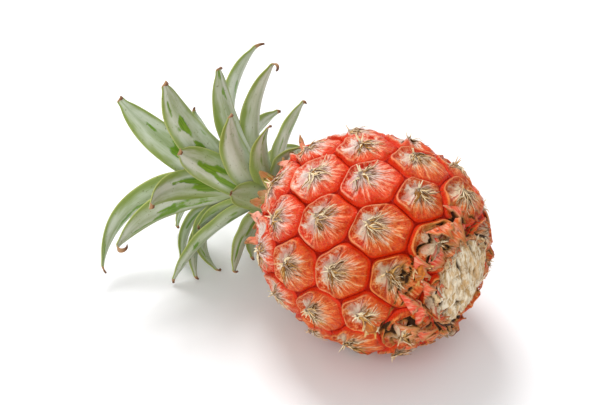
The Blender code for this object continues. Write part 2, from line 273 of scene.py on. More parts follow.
def spiral_points():
    """Centres of the eyes: equal steps of surface area along the axis, and an equal turn each."""
    steps = 2000
    start = -FRUIT_LENGTH / 2
    width = FRUIT_LENGTH / steps
    places, areas, area = [start], [0.0], 0.0
    for step in range(steps):
        near = body_radius(start + step * width)
        far = body_radius(start + (step + 1) * width)
        area += math.pi * (near + far) * math.hypot(width, far - near)
        places.append(start + (step + 1) * width)
        areas.append(area)
    first = FIRST_AREA_SHARE * area
    centres = []
    step = 0
    for index in range(-math.floor(first / EYE_AREA), math.ceil((area - first) / EYE_AREA)):
        wanted = first + index * EYE_AREA
        while areas[step + 1] < wanted:
            step += 1
        share = (wanted - areas[step]) / (areas[step + 1] - areas[step])
        x = places[step] + share * width
        turn = FIRST_TURN + index * EYE_TURN
        centres.append(Vector((x, body_radius(x) * math.cos(turn), body_radius(x) * math.sin(turn))))
    return centres


def eye_axes(centre):
    """Outward, towards the crown and sideways, at an eye."""
    out = body_normal(centre)
    crown = (CROWNWARD - out * -out.x).normalized()
    return out, crown, out.cross(crown)


def eye_apex(centre):
    """An eye's apex, which lies crownwards of its middle, no two quite alike, and the directions there."""
    out, crown, side = eye_axes(centre)
    stray = noise.noise_vector(centre / (9 * MM)) * APEX_STRAY
    apex = on_body(centre + crown * (APEX_SHIFT + stray.x) + side * stray.y)
    return apex, *eye_axes(apex)


def tip_room(apex):
    """How much of its dry tip an eye has, 0 to 1: none near the ground and near the two ends."""
    bare = NECK_BARE if apex.x < 0 else STALK_BARE
    from_seat = math.hypot(apex.y, apex.z) - bare
    from_ground = apex.z + FRUIT_RADIUS - 0.4 * TIP_FADE
    return min(1, max(0, min(from_seat, from_ground) / TIP_FADE))


CENTRES = spiral_points()
MOODS = [random.Random(number).random() for number in range(len(CENTRES))]
LOWEST = min(CENTRES, key=lambda centre: centre.z)
GROUND = LOWEST.z - LEFT_OF_RELIEF
PLACE = Matrix.Translation((-LOWEST.x, -LOWEST.y, -GROUND))
FRUIT_MIDDLE = PLACE @ Vector((0, 0, 0))


# Meshes and pieces.


def shaped_grid(bm, across, along, shape):
    """A sheet of across by along faces; shape(u, v) places its corners, u -1 to 1 and v 0 to 1."""
    verts = bmesh.ops.create_grid(bm, x_segments=across, y_segments=along, size=1)["verts"]
    spots = [(vert, vert.co.x, (vert.co.y + 1) / 2) for vert in verts]
    for vert, u, v in spots:
        vert.co = shape(u, v)
    return spots


def linked(name, data):
    """A new object of data in the scene."""
    thing = bpy.data.objects.new(name, data)
    bpy.context.scene.collection.objects.link(thing)
    return thing


def mesh_of(bm, name, finish):
    mesh = bpy.data.meshes.new(name)
    bm.to_mesh(mesh)
    bm.free()
    mesh.materials.append(finish)
    return mesh


def piece_of(bm, name, node, finish):
    """A finished piece from bm: placed, riding on the body, standing for a node of the part."""
    mesh = mesh_of(bm, name, finish)
    mesh.transform(PLACE)
    mesh.shade_smooth()
    piece = linked(name, mesh)
    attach(piece, "root")
    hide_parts(node)
    return piece


def thicken(piece, thickness, offset=0.0, group="", thin=0.0):
    """Gives a sheet its thickness, down to the share thin of it where the vertex group ends."""
    wall = piece.modifiers.new("thickness", "SOLIDIFY")
    wall.thickness = thickness
    wall.offset = offset
    wall.vertex_group = group
    wall.thickness_vertex_group = thin


def refine(piece):
    finer = piece.modifiers.new("round", "SUBSURF")
    finer.levels = 1
    finer.render_levels = 1


def face_out(bm):
    bmesh.ops.recalc_face_normals(bm, faces=bm.faces)


def open_edges(bm):
    return [edge for edge in bm.edges if edge.is_boundary]


def radial(turn):
    return Vector((0, math.cos(turn), math.sin(turn)))


def add_skirt(bm, foot):
    """Draws a sheet's open edges down to x = foot."""
    for item in bmesh.ops.extrude_edge_only(bm, edges=open_edges(bm))["geom"]:
        if isinstance(item, bmesh.types.BMVert):
            item.co.x = foot


# The fruit's skin.


def cell_outlines():
    """The eyes' outlines: for each centre, the middles of the hull triangles round it, in order."""
    bm = bmesh.new()
    verts = [bm.verts.new(centre) for centre in CENTRES]
    bm.verts.index_update()
    bmesh.ops.convex_hull(bm, input=verts)
    bmesh.ops.triangulate(bm, faces=bm.faces)
    bm.faces.index_update()
    corners = [on_body(face.calc_center_median()) for face in bm.faces]
    outlines = []
    for vert, centre in zip(verts, CENTRES):
        _, crown, side = eye_axes(centre)

        def bearing(index):
            ray = corners[index] - centre
            return math.atan2(ray.dot(side), ray.dot(crown))

        outlines.append(sorted((face.index for face in vert.link_faces), key=bearing))
    bm.free()
    return corners, outlines


def fruit_cells():
    """A closed skin with one face for each eye, and the layers that its finish reads."""
    corners, outlines = cell_outlines()
    bm = bmesh.new()
    layers = {"eye": bm.faces.layers.int.new("eye")}
    for name in ("rim", "around"):
        layers[name] = bm.verts.layers.float_vector.new(name)
    for name in ("share", "height", "pressed", "torn"):
        layers[name] = bm.verts.layers.float.new(name)
    verts = [bm.verts.new(corner) for corner in corners]
    for number, ring in enumerate(outlines):
        bm.faces.new([verts[i] for i in ring])[layers["eye"]] = number
    bmesh.ops.subdivide_edges(bm, edges=bm.edges, cuts=OUTLINE_CUTS)
    for vert in bm.verts:
        place = on_body(vert.co + noise.noise_vector(vert.co / (7 * MM)) * OUTLINE_WANDER)
        vert[layers["rim"]] = place
        vert[layers["share"]] = 1
        vert.co = place - body_normal(place) * GROOVE_DEPTH
    return bm, layers


def rounded(loop, reach):
    """A closed loop of places with its corners softened over reach neighbours each way."""
    count = len(loop)
    softened = []
    for index in range(count):
        near = [loop[(index + step) % count] for step in range(-reach, reach + 1)]
        softened.append(sum(near, Vector()) / len(near))
    return softened


def eye_relief(share, crownward, sideways, mood, place):
    """Height of an eye's skin: share 0 at its apex and 1 in the groove, crownward 1 to -1 round it."""
    edge = FAN_FROM + 0.3 * (mood - 0.5) * (1 if sideways > 0 else -1)
    on_cap = smooth((crownward - edge + 0.05) / 0.1)
    inside = smooth(share / 0.3) * smooth((0.97 - share) / 0.2)
    lobes = noise_at(crownward * 2, sideways * 2, mood * 40 + share)
    cap = CAP_DOME * (1 - share * share)
    cap += CAP_RIM * bell(share, 0.86, 0.1) - CAP_DISH * bell(share, 0.5, 0.22) + CAP_LOBES * inside * lobes
    folds = noise_at(crownward * 3, sideways * 3, mood * 40 + 9)
    bract = BRACT_EDGE + BRACT_RISE * (1 - share) ** 0.8 + FAN_FOLDS * inside * folds
    height = on_cap * cap + (1 - on_cap) * bract
    height += FAN_EDGE * inside * bell(crownward, edge - 0.05, 0.09)
    height += SKIN_LUMPS * smooth((1 - share) / 0.1) * noise.noise(place / (3 * MM))
    return height - GROOVE_DEPTH * smooth((share - GROOVE_FROM) / (1 - GROOVE_FROM))


def raise_eyes(bm, layers):
    """Draws each cell inwards in rings, towards its apex, and lifts them to the eye's relief."""
    cells = list(bm.faces)
    for ring in EYE_RINGS:
        cells = bmesh.ops.extrude_discrete_faces(bm, faces=cells)["faces"]
        for cell in cells:
            number = cell[layers["eye"]]
            apex, out, crown, side = eye_apex(CENTRES[number])
            if ring == EYE_RINGS[0]:
                soft = rounded([vert[layers["rim"]].copy() for vert in cell.verts], OUTLINE_ROUNDING)
                for vert, place in zip(cell.verts, soft):
                    vert[layers["rim"]] = place
            hooked = max(0, 1 - ring / 0.2) ** 2 * 0.6 * tip_room(apex)
            for vert in cell.verts:
                heading = (vert[layers["rim"]] - apex).normalized()
                crownward, sideways = heading.dot(crown), heading.dot(side)
                place = on_body(apex.lerp(vert[layers["rim"]], ring))
                height = eye_relief(ring, crownward, sideways, MOODS[number], place)
                vert.co = place + body_normal(place) * height
                vert.co += (out * TIP_RISE + crown * TIP_LEAN) * hooked
                vert[layers["share"]] = ring
                vert[layers["height"]] = height / MM
                vert[layers["around"]] = (crownward, sideways, MOODS[number])
    bmesh.ops.poke(bm, faces=cells)


def hollow_ends(bm, layers):
    """Presses the skin in where the crown's stem and the stalk come out of the fruit."""
    for inner, outer, floor in (NECK_HOLLOW, STALK_HOLLOW):
        side = math.copysign(1, floor)
        for vert in bm.verts:
            radius = math.hypot(vert.co.y, vert.co.z)
            if vert.co.x * side > 0 and radius < outer:
                depth = max(0, (vert.co.x - floor) * side)
                pressed = depth * (1 - smooth((radius - inner) / (outer - inner)))
                vert.co.x -= side * pressed
                vert[layers["pressed"]] = pressed / MM


def tear_skin(bm, layers):
    """Lifts and cracks the skin round the stalk, most on the side where the bracts are torn off."""
    for vert in bm.verts:
        radius = math.hypot(vert.co.y, vert.co.z)
        if vert.co.x < 24 * MM or radius < 5 * MM:
            continue
        around = Vector((0, vert.co.y, vert.co.z)) / radius
        where = around * 3.4 + Vector((radius / (4.5 * MM), 0, 0))
        start = TEAR_FROM + 5 * MM * around.y + 7 * MM * noise.noise(around * 2.5)
        reach = smooth((vert.co.x - start) / (6 * MM))
        crack = bell(noise.noise(where), 0.05, 0.09) * reach
        lump = noise.noise(where + Vector((40, 0, 0)))
        vert.co += body_normal(on_body(vert.co)) * (TEAR_LUMPS * reach * lump - TEAR_DEPTH * crack)
        vert[layers["torn"]] = crack


def make_skin(finish):
    bm, layers = fruit_cells()
    raise_eyes(bm, layers)
    tear_skin(bm, layers)
    hollow_ends(bm, layers)
    for vert in bm.verts:
        vert.co.z = max(vert.co.z, GROUND)
    face_out(bm)
    piece_of(bm, "fruit_skin", "fruit", finish)


def strand(bm, root, heading, up, length, width, curl, steps=4):
    """A narrow papery strip that sets off from root and curls up by curl radians on its way."""
    side = heading.cross(up).normalized()

    def shape(u, v):
        turned = curl * v
        reach = length * v if abs(curl) < 0.01 else length * math.sin(turned) / curl
        rise = 0 if abs(curl) < 0.01 else length * (1 - math.cos(turned)) / curl
        return root + heading * reach + up * rise + side * u * width * (1 - 0.8 * v) / 2

    return shaped_grid(bm, 1, steps, shape)


def lying_strand(bm, apex, crown, side, mood, turn, length, width, lift):
    """A papery fibre that lies along an eye's skin from its apex, its end lifted off."""
    heading = crown * math.cos(turn) + side * math.sin(turn)
    beside = crown * -math.sin(turn) + side * math.cos(turn)

    def shape(u, v):
        reach = length * v
        swerve = length * 0.12 * math.sin(v * 5 + turn * 9)
        place = on_body(apex + heading * reach + beside * (swerve + u * width * (1 - 0.75 * v) / 2))
        share = min(0.9, reach / EYE_REACH)
        height = eye_relief(share, math.cos(turn), math.sin(turn), mood, place)
        return place + body_normal(place) * (height + 0.25 * MM + lift * v * v)

    return shaped_grid(bm, 1, 6, shape)


def paint(made, tone, shade):
    for vert, _, _ in made:
        vert[tone] = shade


def eye_spikes(bm, tone, rng, apex, out, crown, side, room):
    """The dry spikes at an eye's apex."""
    for _ in range(TUFT_SPIKES):
        heading = crown * rng.uniform(-0.2, 0.9) + out * rng.uniform(0.3, 0.8) + side * rng.gauss(0, 0.4)
        length, width = rng.uniform(3, 5.5) * MM * room, rng.uniform(0.8, 1.6) * MM
        curl = rng.uniform(-0.4, 0.8)
        made = strand(bm, apex + out * BRACT_RISE, heading.normalized(), out, length, width, curl)
        paint(made, tone, rng.uniform(0, 0.5))


def eye_fibres(bm, tone, rng, apex, crown, side, mood, room):
    """Bundles of papery fibres that lie from an eye's apex over its fan, the first few of them broad."""
    bundles = (rng.uniform(-80, -40), rng.uniform(-25, 15), rng.uniform(30, 75))
    for number in range(rng.randint(*TUFT_FIBRES)):
        turn = math.pi + math.radians(rng.choice(bundles) + rng.gauss(0, 10))
        length = rng.uniform(4.5, 12) * MM * room
        broad = number < BROAD_FIBRES
        width = rng.uniform(1.2, 2.0) * MM if broad else rng.uniform(0.3, 0.8) * MM
        lift = rng.uniform(0, 0.5) * MM if broad else rng.uniform(0, 1.8) * MM
        made = lying_strand(bm, apex, crown, side, mood, turn, length * (0.7 if broad else 1), width, lift)
        paint(made, tone, rng.uniform(0.55, 1.0) if broad else rng.random() ** 1.3)


def flower_cup(bm, tone, rng, place, out, crown, side):
    """The torn papery cup round a dried flower."""
    for _ in range(CUP_PETALS):
        about = rng.uniform(0, math.tau)
        away = side * 1.4 * math.cos(about) + crown * math.sin(about)
        heading = (away * rng.uniform(-0.1, 0.9) + out * 0.7 + side * rng.gauss(0, 0.4)).normalized()
        length, width = rng.uniform(3, 6) * MM, rng.uniform(2, 3.5) * MM
        made = strand(bm, place + away * CUP_RADIUS * MM, heading, out, length, width, rng.uniform(-0.9, 0.4))
        paint(made, tone, rng.uniform(0.25, 0.6))


def make_tufts(finish):
    """What is dry and papery on the eyes: spikes, lying fibres and the dried flowers' cups."""
    rng = random.Random(TUFT_SEED)
    bm = bmesh.new()
    tone = bm.verts.layers.float.new("tone")
    for centre, mood in zip(CENTRES, MOODS):
        apex, out, crown, side = eye_apex(centre)
        room = tip_room(apex)
        if room >= LEAST_ROOM:
            eye_spikes(bm, tone, rng, apex, out, crown, side, room)
            eye_fibres(bm, tone, rng, apex, crown, side, mood, room)
    for x, turn in DRIED_FLOWERS:
        flower_cup(bm, tone, rng, *flower_seat(x, turn))
    tufts = piece_of(bm, "dry_tufts", "fruit", finish)
    thicken(tufts, PAPER_THICK)


def flower_seat(x, turn):
    """Where a dried flower sits on the fruit, and the directions there."""
    place = on_body(Vector((x * MM, 0, 0)) + radial(math.radians(turn)) * body_radius(x * MM))
    return place, *eye_axes(place)


def make_dried_flowers(finish):
    """Hard orange-brown lumps of dried flower."""
    bm = bmesh.new()
    for x, turn in DRIED_FLOWERS:
        place, out, crown, side = flower_seat(x, turn)
        width, length, height = FLOWER_SIZE
        axes = Matrix((side * width, crown * length, out * height)).transposed().to_4x4()
        axes.translation = place + out * FLOWER_RISE
        bmesh.ops.create_uvsphere(bm, u_segments=20, v_segments=12, radius=1, matrix=axes)
    for vert in bm.verts:
        vert.co += noise.noise_vector(vert.co / (3 * MM)) * 0.7 * MM
    piece_of(bm, "dried_flowers", "fruit", finish)


# The crown.


def leaf_line(leaf):
    """Places and directions along a leaf's midrib and its dry tip, by share of the whole from 0 to 1."""
    turn, lean, curl, length, sway, root, _, tip_length, tip_curl = leaf
    place = Vector((CROWN_START - root * MM, 0, 0))
    place += ROOT_RADIUS * radial(math.radians(turn))
    main = round(LEAF_ALONG * MAIN_SHARE)
    line = []
    for index in range(LEAF_ALONG + 1):
        share = min(index / main, 1)
        past = max(0, (index - main) / (LEAF_ALONG - main))
        angle = math.radians(lean + curl * share**CURL_POWER + tip_curl * past)
        out = radial(math.radians(turn + sway * share))
        tangent = Vector((-math.cos(angle), 0, 0)) + out * math.sin(angle)
        if index:
            step = length / main if index <= main else tip_length / (LEAF_ALONG - main)
            place = place + tangent * step * MM
        line.append((share, past, place, tangent))
    return line


def leaf_width(share, past):
    """Width along a leaf as a share of its widest: broad at the root, with a long taper."""
    return max(TIP_WIDTH, (1 - share**3.2) ** 0.7) * (1 - 0.7 * past)


def leaf_shape(leaf, line, lift, u, v):
    share, past, place, tangent = line[round(v * LEAF_ALONG)]
    turn = math.radians(leaf[0])
    side = Vector((0, -math.sin(turn), math.cos(turn)))
    across = (side - tangent * side.dot(tangent)).normalized()
    inner = across.cross(tangent)
    half = leaf[6] * MM * leaf_width(share, past) / 2
    channel = CHANNEL_AT_ROOT + (CHANNEL_AT_TIP - CHANNEL_AT_ROOT) * share
    bend = u * half / channel
    skin = place + across * channel * math.sin(bend) + inner * channel * (1 - math.cos(bend))
    wave = EDGE_WAVE * abs(u) ** 3 * math.sin(share * 19 + leaf[0]) * (1 - share)
    return skin + inner * wave + Vector((0, 0, lift * share * share))


def lowest(leaf, line, lift):
    """Height of a leaf's lowest place."""
    spots = ((u, v / LEAF_ALONG) for v in range(LEAF_ALONG + 1) for u in (-1, 0, 1))
    return min(leaf_shape(leaf, line, lift, u, v).z for u, v in spots)


def make_leaf(number, leaf, finish):
    """One leaf, lifted just enough towards its tip to lie on the ground and not in it."""
    line = leaf_line(leaf)
    lift = 0.0
    for _ in range(8):
        short = GROUND + LEAF_CLEARANCE - lowest(leaf, line, lift)
        if short < TINY:
            break
        lift += short
    bm = bmesh.new()
    blade = bm.verts.layers.float_vector.new("blade")
    tone = bm.verts.layers.float.new("tone")
    mood = random.Random(number).random()
    spots = shaped_grid(bm, LEAF_ACROSS, LEAF_ALONG, lambda u, v: leaf_shape(leaf, line, lift, u, v))
    bm.verts.index_update()
    weights = []
    for vert, u, v in spots:
        share, past, _, _ = line[round(v * LEAF_ALONG)]
        vert[blade] = (u, share * leaf[3] / 80, past)
        vert[tone] = mood
        weights.append((vert.index, (1 - abs(u)) * (1 - 0.6 * share)))
    piece = piece_of(bm, f"leaf_{number}", "crown", finish)
    group = piece.vertex_groups.new(name="middle")
    for index, weight in weights:
        group.add([index], weight, "REPLACE")
    thicken(piece, LEAF_THICK, -1, "middle", MARGIN_SHARE)
    refine(piece)


def turned(profile, segments):
    """A closed solid turned round the X axis from (x, radius) points that end on the axis."""
    bm = bmesh.new()
    verts = [bm.verts.new((x, 0, radius)) for x, radius in profile]
    edges = [bm.edges.new(pair) for pair in zip(verts, verts[1:])]
    bmesh.ops.spin(
        bm,
        geom=verts + edges,
        cent=(0, 0, 0),
        axis=(1, 0, 0),
        angle=math.tau,
        steps=segments,
        use_merge=True,
    )
    bmesh.ops.remove_doubles(bm, verts=bm.verts, dist=TINY)
    face_out(bm)
    return bm


def make_stem(finish):
    top = CROWN_START - STEM_LENGTH
    profile = (
        (STEM_FOOT_X, 0),
        (STEM_FOOT_X, STEM_RADIUS),
        (CROWN_START - 0.6 * STEM_LENGTH, STEM_RADIUS * 0.95),
        (CROWN_START - 0.9 * STEM_LENGTH, STEM_RADIUS * 0.45),
        (top, 0),
    )
    bm = turned(profile, 24)
    blade = bm.verts.layers.float_vector.new("blade")
    for vert in bm.verts:
        vert[blade] = (0, 0.1, 0)
    piece_of(bm, "crown_stem", "crown", finish)


def bract(bm, tone, shade, root, out, lean, curl, length, width, ragged=0.0, seed=0.0):
    """A small bract from root: it leans from crownwards to out, curls over and may have a torn end."""
    side = CROWNWARD.cross(out).normalized()
    steps = 6

    def shape(u, v):
        torn = 1 + ragged * noise_at(u * 4, seed * 17, 0)
        place = Vector(root)
        for step in range(steps):
            angle = lean + curl * v * (step + 0.5) / steps
            place += (CROWNWARD * math.cos(angle) + out * math.sin(angle)) * (length * v * torn / steps)
        angle = lean + curl * v
        lifted = out * math.cos(angle) - CROWNWARD * math.sin(angle)
        tatter = 1 + ragged * noise_at(v * 5, u * 2, seed * 31)
        narrow = max(0.12, (1 - v**2.2) ** 0.9) * tatter
        curved = 0.25 * width * (u * u - 0.5)
        return place + side * (u * width * narrow / 2) - lifted * curved * narrow

    for vert, u, v in shaped_grid(bm, 6, 7, shape):
        vert[tone] = (shade, v, u)


def collar_bracts(bm, tone, rng):
    for index in range(NECK_BRACTS):
        out = radial(math.tau * (index + rng.uniform(-0.3, 0.3)) / NECK_BRACTS)
        root = out * NECK_ROOT_RADIUS + Vector((NECK_ROOT_X, 0, 0))
        shade = rng.uniform(0.4, 1)
        lean, curl = math.radians(rng.uniform(50, 75)), math.radians(rng.uniform(-10, 40))
        bract(bm, tone, shade, root, out, lean, curl, rng.uniform(9, 16) * MM, rng.uniform(7, 10) * MM)


def shoulder_bracts(bm, tone, rng):
    for index in range(SHOULDER_BRACTS):
        out = radial(math.tau * (index + rng.uniform(-0.35, 0.35)) / SHOULDER_BRACTS)
        x = SHOULDER_X + rng.uniform(-3, 3) * MM
        root = out * (body_radius(x) - SHOULDER_SUNK) + Vector((x, 0, 0))
        shade = rng.random() ** 2 * 0.7
        lean, curl = math.radians(rng.uniform(-5, 30)), math.radians(rng.choice((-70, -30, 60, 130)))
        length, width = rng.uniform(5, 11) * MM, rng.uniform(4, 9) * MM
        bract(bm, tone, shade, root, out, lean, curl, length, width, SHOULDER_RAGGED, rng.random())


def make_neck_bracts(finish):
    """Green, pink and brown bracts under the crown, and pink and tan ones on the fruit's shoulder."""
    rng = random.Random(NECK_SEED)
    bm = bmesh.new()
    tone = bm.verts.layers.float_vector.new("tone")
    collar_bracts(bm, tone, rng)
    shoulder_bracts(bm, tone, rng)
    piece = piece_of(bm, "neck_bract_ring", "neck_bracts", finish)
    thicken(piece, BRACT_THICK)
    refine(piece)


def lying_flap(bm, tone, shade, turn, radius, slant, length, width, lift):
    """A torn bract that lies on the fruit's end, its ragged edge raised on the side of the stalk."""
    root = on_body(Vector((FLAP_SEAT_X, 0, 0)) + radial(turn) * radius)
    out, crown, side = eye_axes(root)
    along = side * math.cos(slant) + crown * math.sin(slant)

    def shape(u, v):
        inward = (u + 1) / 2
        torn = 1 + 0.7 * noise_at(v * 6, shade * 17, inward)
        reach = inward * width * math.sin(math.pi * (0.04 + 0.92 * v)) * torn
        place = on_body(root + along * length * (v - 0.5) + crown * (0.3 * width - reach))
        return place + body_normal(place) * (0.6 * MM + lift * inward**1.5)

    for vert, u, v in shaped_grid(bm, 5, 14, shape):
        vert[tone] = (shade, (u + 1) / 2, 1.3 * v)


def base_shreds(bm, tone, rng):
    """Fine shreds, most of them at the stalk's rim and the others outside the crevice."""
    for index in range(BASE_SHREDS):
        turn = rng.uniform(0, math.tau)
        radius = (rng.uniform(19.5, 23) if index % 3 else rng.uniform(28, 31)) * MM
        root = radial(turn) * radius + Vector((torn_height(radius, turn) - 0.5 * MM, 0, 0))
        aim = radial(turn + rng.gauss(math.pi, 0.9))
        heading = (aim + Vector((rng.uniform(0.1, 1.2), 0, 0))).normalized()
        shade = rng.random()
        up = (STALKWARD - heading * heading.x).normalized()
        length, width = rng.uniform(2.5, 6) * MM, rng.uniform(0.6, 2.4) * MM
        for vert, u, v in strand(bm, root, heading, up, length, width, rng.uniform(-1.4, 0.6)):
            vert[tone] = (shade, 0.4 + 0.6 * v, u)


def base_rows(bm, tone, rng):
    """Broad flaps in two rows, lower and fewer on the far side and near the ground."""
    for index in range(TORN_FLAPS):
        turn = math.tau * (index + rng.uniform(-0.4, 0.4)) / TORN_FLAPS
        if index % 2 and math.cos(turn) > 0.2:
            continue
        radius = (rng.uniform(28.5, 32) if index % 2 else rng.uniform(34, 41)) * MM
        length, width = rng.uniform(9, 17) * MM, rng.uniform(5, 9) * MM
        low = math.cos(turn) > 0 or math.sin(turn) < -0.5
        lift = rng.uniform(1.5, 4) * MM * (0.3 if low else 1)
        shade = rng.random() * 0.8
        lying_flap(bm, tone, shade, turn, radius, rng.uniform(-0.6, 0.6), length, width, lift)


def make_base_flaps(finish):
    """Torn bracts round the stalk's broken end."""
    rng = random.Random(BASE_SEED)
    bm = bmesh.new()
    tone = bm.verts.layers.float_vector.new("tone")
    base_shreds(bm, tone, rng)
    base_rows(bm, tone, rng)
    for vert in bm.verts:
        vert.co.z = max(vert.co.z, GROUND + LEAST_ABOVE_GROUND)
    piece = piece_of(bm, "base_flaps", "base_bracts", finish)
    thicken(piece, FLAP_THICK)


def torn_relief(radius, turn):
    """Height of the torn ring's tissue: a ragged ridge inside, a crevice outside it."""
    around = Vector((math.cos(turn), math.sin(turn), 0))
    shreds = noise.noise(around * 10 + Vector((0, 0, radius / (3 * MM))))
    clumps = noise.noise(around * 4 + Vector((0, 0, 9 + radius / (7 * MM))))
    ridge = 3.0 * MM * bell(radius, 23 * MM, 1.8 * MM) * (0.7 + clumps)
    crevice = 5.0 * MM * bell(radius, 25.8 * MM, 1.9 * MM) * (0.9 + 0.8 * shreds)
    return ridge - crevice + 1.8 * MM * shreds


def torn_height(radius, turn):
    return TORN_X + torn_relief(radius, turn) - 0.12 * max(0, radius - 22 * MM)


def make_torn_collar(finish):
    """The ragged ring of torn tissue between the last eyes and the stalk's broken wood."""
    bm = bmesh.new()
    height = bm.verts.layers.float.new("height")

    def polar(u, v):
        return TORN_INSIDE + (TORN_OUTSIDE - TORN_INSIDE) * (u + 1) / 2, math.tau * v

    def shape(u, v):
        radius, turn = polar(u, v)
        return Vector((torn_height(radius, turn), 0, 0)) + radial(turn) * radius

    for vert, u, v in shaped_grid(bm, *TORN_GRID, shape):
        vert[height] = torn_relief(*polar(u, v)) / MM
    bmesh.ops.remove_doubles(bm, verts=bm.verts, dist=TINY)
    add_skirt(bm, TORN_FOOT_X)
    bmesh.ops.bridge_loops(bm, edges=open_edges(bm))
    face_out(bm)
    piece_of(bm, "torn_collar", "base_bracts", finish)


# The broken end of the stalk.


def stalk_relief(y, z):
    """How far the torn wood stands above a smooth dome at a place across the stalk."""
    fibres = noise_at(y / (1.8 * MM), z / (6 * MM), 3)
    clumps = 0.5 - 2 * abs(noise_at(y / (5 * MM), z / (10 * MM), 8))
    pits = min(0, noise_at(y / (3.5 * MM), z / (6 * MM), 21) + 0.12)
    return 0.7 * MM * fibres + 2.0 * MM * clumps + 12 * MM * pits


def stalk_height(y, z):
    share = min(1, math.hypot(y, z) / STALK_RADIUS)
    return STALK_RIM_X + (STALK_MIDDLE_X - STALK_RIM_X) * (1 - share**2) + stalk_relief(y, z)


def make_stalk(finish):
    bm = bmesh.new()

    def shape(u, v):
        w = 2 * v - 1
        y = STALK_RADIUS * u * math.sqrt(1 - w * w / 2)
        z = STALK_RADIUS * w * math.sqrt(1 - u * u / 2)
        return Vector((stalk_height(y, z), y, z))

    height = bm.verts.layers.float.new("height")
    for vert, _, _ in shaped_grid(bm, STALK_GRID, STALK_GRID, shape):
        vert[height] = stalk_relief(vert.co.y, vert.co.z) / MM
    add_skirt(bm, STALK_FOOT_X)
    bmesh.ops.holes_fill(bm, edges=open_edges(bm))
    face_out(bm)
    piece_of(bm, "stalk_end", "stalk", finish)


def make_fibres(finish):
    """Loose fibres on the stalk's broken end."""
    rng = random.Random(FIBRE_SEED)
    bm = bmesh.new()
    for _ in range(LOOSE_FIBRES):
        radius = STALK_RADIUS * math.sqrt(rng.random())
        turn = rng.uniform(0, math.tau)
        y, z = radius * math.cos(turn), radius * math.sin(turn)
        root = Vector((stalk_height(y, z) - 0.3 * MM, y, z))
        lean = math.radians(rng.gauss(90, 25))
        heading = Vector((rng.uniform(0, 0.5), math.cos(lean), math.sin(lean))).normalized()
        length, curl = rng.uniform(3, 9) * MM, rng.uniform(-0.8, 0.6)
        strand(bm, root, heading, STALKWARD, length, FIBRE_WIDTH, curl, 3)
    piece = piece_of(bm, "stalk_fibres", "stalk", finish)
    thicken(piece, FIBRE_THICK)


# Finishes.


class Finish:
    """A procedural material. Each call adds a node and gives back its output."""

    def __init__(self, name, **sockets):
        self.material = bpy.data.materials.new(name)
        self.material.use_nodes = True
        self.tree = self.material.node_tree
        self.shader = self.tree.nodes["Principled BSDF"]
        for socket, value in sockets.items():
            self.shader.inputs[socket.replace("_", " ")].default_value = value

    def add(self, kind, feeds, **settings):
        node = self.tree.nodes.new("ShaderNode" + kind)
        for name, value in settings.items():
            setattr(node, name, value)
        for socket, value in feeds.items():
            self.feed(node.inputs[socket], value)
        return node

    def feed(self, socket, value):
        if isinstance(value, bpy.types.NodeSocket):
            self.tree.links.new(value, socket)
        else:
            socket.default_value = value

    def place(self, stretch=(1, 1, 1)):
        """Object coordinates in millimetres, stretched."""
        spot = self.add("TexCoord", {}).outputs["Object"]
        scale = tuple(factor / MM for factor in stretch)
        return self.add("Mapping", {"Vector": spot, "Scale": scale}).outputs[0]

    def parts(self, vector):
        return tuple(self.add("SeparateXYZ", {0: vector}).outputs)

    def layer(self, name):
        """A named attribute's (number, x, y, z)."""
        read = self.add("Attribute", {}, attribute_name=name)
        return read.outputs["Fac"], *self.parts(read.outputs["Vector"])

    def math(self, operation, first, second=0.0, third=0.0):
        return self.add("Math", {0: first, 1: second, 2: third}, operation=operation).outputs[0]

    def between(self, value, low, high, start=0.0, end=1.0):
        """value from low to high, as a soft step from start to end."""
        feeds = {0: value, 1: low, 2: high, 3: start, 4: end}
        return self.add("MapRange", feeds, interpolation_type="SMOOTHSTEP").outputs[0]

    def times(self, first, second, more=0.0):
        """first times second, plus more."""
        return self.math("MULTIPLY_ADD", first, second, more)

    def off(self, value, middle=0.0):
        """How far value lies from middle, on either side."""
        return self.math("ABSOLUTE", self.math("SUBTRACT", value, middle))

    def join(self, x, y, z):
        return self.add("CombineXYZ", {0: x, 1: y, 2: z}).outputs[0]

    def noise(self, where, scale, detail=2.0, rough=0.5):
        feeds = {"Vector": where, "Scale": scale, "Detail": detail, "Roughness": rough}
        return self.add("TexNoise", feeds).outputs[0]

    def mix(self, share, first, second):
        feeds = {0: share, 6: first, 7: second}
        return self.add("Mix", feeds, data_type="RGBA").outputs[2]

    def lay(self, body, colour, value, low, high, most=1.0):
        """body with colour laid over it: none of it up to value low, and its share most from high on."""
        return self.mix(self.between(value, low, high, 0.0, most), body, colour)

    def roughness(self, socket):
        self.feed(self.shader.inputs["Roughness"], socket)

    def done(self, colour, height, distance, strength):
        """The material in its colour, with bumps by height."""
        feeds = {"Height": height, "Distance": distance, "Strength": strength}
        self.feed(self.shader.inputs["Normal"], self.add("Bump", feeds).outputs[0])
        self.feed(self.shader.inputs["Base Color"], colour)
        return self.material


def rgb(red, green, blue):
    """A colour as seen on a screen, 0 to 1, as a shader takes it."""

    def linear(value):
        return value / 12.92 if value <= 0.04045 else ((value + 0.055) / 1.055) ** 2.4

    return (linear(red), linear(green), linear(blue), 1)


